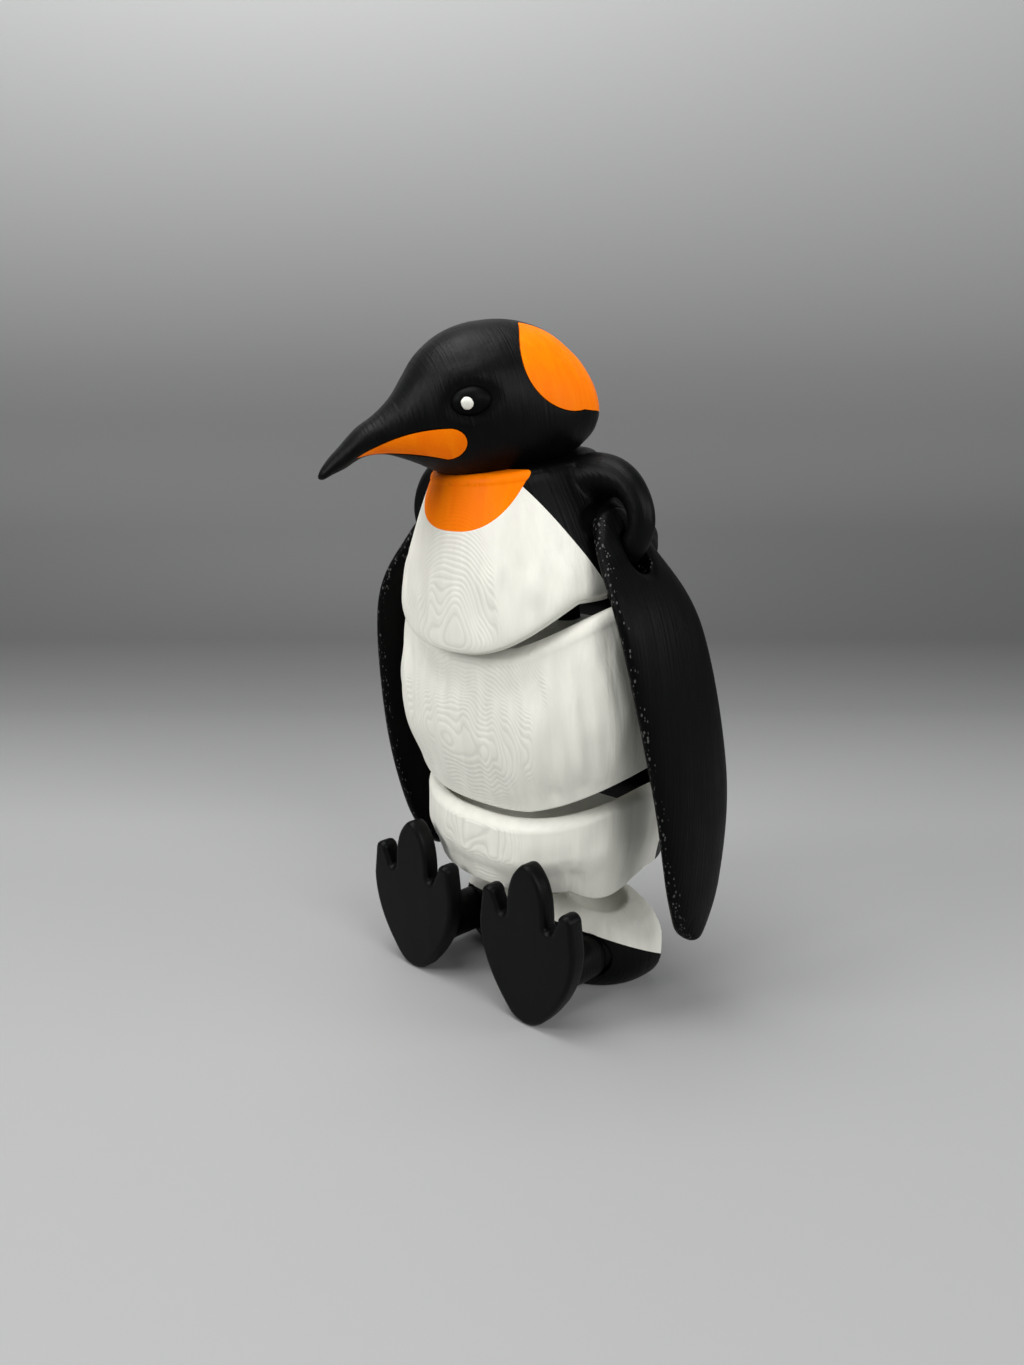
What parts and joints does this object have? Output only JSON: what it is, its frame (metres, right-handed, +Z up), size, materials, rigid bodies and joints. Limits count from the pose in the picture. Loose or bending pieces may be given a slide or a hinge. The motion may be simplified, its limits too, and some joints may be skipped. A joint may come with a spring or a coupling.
{
  "type": "articulated penguin figure",
  "caption": "Sitting penguin toy printed in place: linked torso segments, folding hips, turning head, hanging wings and turning feet.",
  "frame": {"origin": "on the flat seat face of the pelvis, straight below the hip axis", "axes": "+Z up, -Y the way the figure faces, +X its left side"},
  "size_m": [0.1044, 0.0883, 0.1713],
  "materials": {
    "black_plastic": "satin, fine layer lines",
    "white_plastic": "satin, fine layer rings",
    "orange_plastic": "satin"
  },
  "bodies": {
    "pelvis": {"pelvis_front": "white_plastic", "pelvis_seat": "black_plastic", "pelvis_link_loop": "black_plastic"},
    "lower": {"lower_front": "white_plastic", "lower_back": "black_plastic", "lower_link_eye": "black_plastic", "lower_link_loop": "black_plastic"},
    "belly": {"belly_front": "white_plastic", "belly_back": "black_plastic", "belly_link_eye": "black_plastic", "belly_link_loop": "black_plastic"},
    "chest": {"chest_front": "white_plastic", "chest_bib": "orange_plastic", "chest_mantle": "black_plastic", "chest_link_eye": "black_plastic", "neck_stud": "black_plastic", "shoulder_ring_left": "black_plastic", "shoulder_ring_right": "black_plastic"},
    "head": {"head_shell": "black_plastic", "ear_patch_left": "orange_plastic", "ear_patch_right": "orange_plastic", "beak_stripe_left": "orange_plastic", "beak_stripe_right": "orange_plastic", "eye_left": "black_plastic", "eye_right": "black_plastic", "eye_glint_left": "white_plastic", "eye_glint_right": "white_plastic"},
    "wing_left": {"wing_left": "black_plastic"},
    "wing_right": {"wing_right": "black_plastic"},
    "leg_left": {"foot_left": "black_plastic"},
    "leg_right": {"foot_right": "black_plastic"}
  },
  "joints": [
    {"name": "hip_fold", "type": "hinge", "parent": "pelvis", "child": "lower", "pos_m": [0, 0, 0.024], "axis": [1, 0, 0], "range_deg": [-85, 0]},
    {"name": "waist_bend", "type": "hinge", "parent": "lower", "child": "belly", "pos_m": [0, 0, 0.06051], "axis": [1, 0, 0], "range_deg": [-15, 0]},
    {"name": "rib_bend", "type": "hinge", "parent": "belly", "child": "chest", "pos_m": [0, -0.00704, 0.11059], "axis": [1, 0, 0], "range_deg": [-15, 0]},
    {"name": "head_turn", "type": "hinge", "parent": "chest", "child": "head", "pos_m": [0, -0.01968, 0.13835], "axis": [0, -0.1994, 0.9799], "range_deg": [-36, 84]},
    {"name": "wing_left_lift", "type": "hinge", "parent": "chest", "child": "wing_left", "pos_m": [0.028, -0.01543, 0.12535], "axis": [0, -1, 0], "range_deg": [0, 60]},
    {"name": "wing_right_lift", "type": "hinge", "parent": "chest", "child": "wing_right", "pos_m": [-0.028, -0.01543, 0.12535], "axis": [0, 1, 0], "range_deg": [0, 60]},
    {"name": "leg_left_turn", "type": "hinge", "parent": "pelvis", "child": "leg_left", "pos_m": [0.0213, -0.005, 0.01], "axis": [0, 1, 0], "range_deg": [-10, 30]},
    {"name": "leg_right_turn", "type": "hinge", "parent": "pelvis", "child": "leg_right", "pos_m": [-0.0213, -0.005, 0.01], "axis": [0, 1, 0], "range_deg": [-30, 10]}
  ]
}
